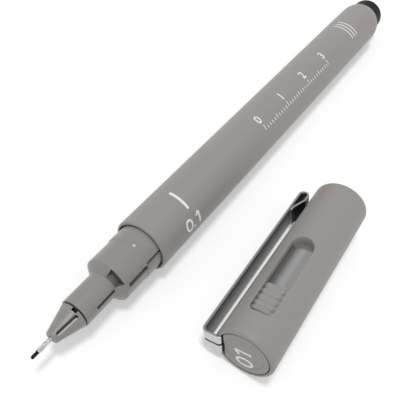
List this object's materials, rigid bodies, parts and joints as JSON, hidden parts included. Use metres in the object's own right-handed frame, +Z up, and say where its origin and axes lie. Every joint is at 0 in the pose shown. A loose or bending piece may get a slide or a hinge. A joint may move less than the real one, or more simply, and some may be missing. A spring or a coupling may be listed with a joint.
{
  "type": "fineliner pen",
  "caption": "Slim grey fineliner pen lying beside its pulled-off cap; stepped front section, slotted cone tip with steel-sleeved nib, steel pocket clip and ribbed thumb recess.",
  "frame": {"origin": "on the pen's axis, in the middle of the barrel's straight wall", "axes": "+X along the pen from nib to tail, +Z up from the table that the pen and its cap lie on, cap on the -Y side"},
  "size_m": [0.1282, 0.0353, 0.0106],
  "materials": {
    "body_plastic": "fine matte grey",
    "cap_plastic": "fine matte grey",
    "disc_plastic": "fine matte grey",
    "section_plastic": "satin moulded grey",
    "plug_plastic": "satin black",
    "liner_plastic": "waxy natural",
    "wrap_film": "thin film",
    "ink_fibre": "ink-soaked fibre",
    "nib_fibre": "inked fibre",
    "sleeve_steel": "drawn tube",
    "clip_steel": "rolled strip, bright edges"
  },
  "bodies": {
    "pen": {"barrel": "body_plastic", "tail_plug": "plug_plastic", "front_section": "section_plastic", "tip_cone": "section_plastic", "tip_sleeve": "sleeve_steel", "writing_nib": "nib_fibre", "feed_wick": "ink_fibre", "ink_reservoir": "ink_fibre", "reservoir_wrap": "wrap_film"},
    "cap": {"cap_shell": "cap_plastic", "inner_cap": "liner_plastic", "end_disc": "disc_plastic"},
    "clip": {"clip": "clip_steel"}
  },
  "joints": [
    {"name": "cap_slide", "type": "slide", "parent": "pen", "child": "cap", "axis": [-0.9997, -0.025, 0], "range_m": [0, 0.06]},
    {"name": "clip_flex", "type": "hinge", "parent": "cap", "child": "clip", "pos_m": [-0.05097, -0.02073, -0.00122], "axis": [-0.0077, 0.3089, 0.9511], "range_deg": [0, 5], "stiffness_Nm_per_rad": 0.03}
  ]
}
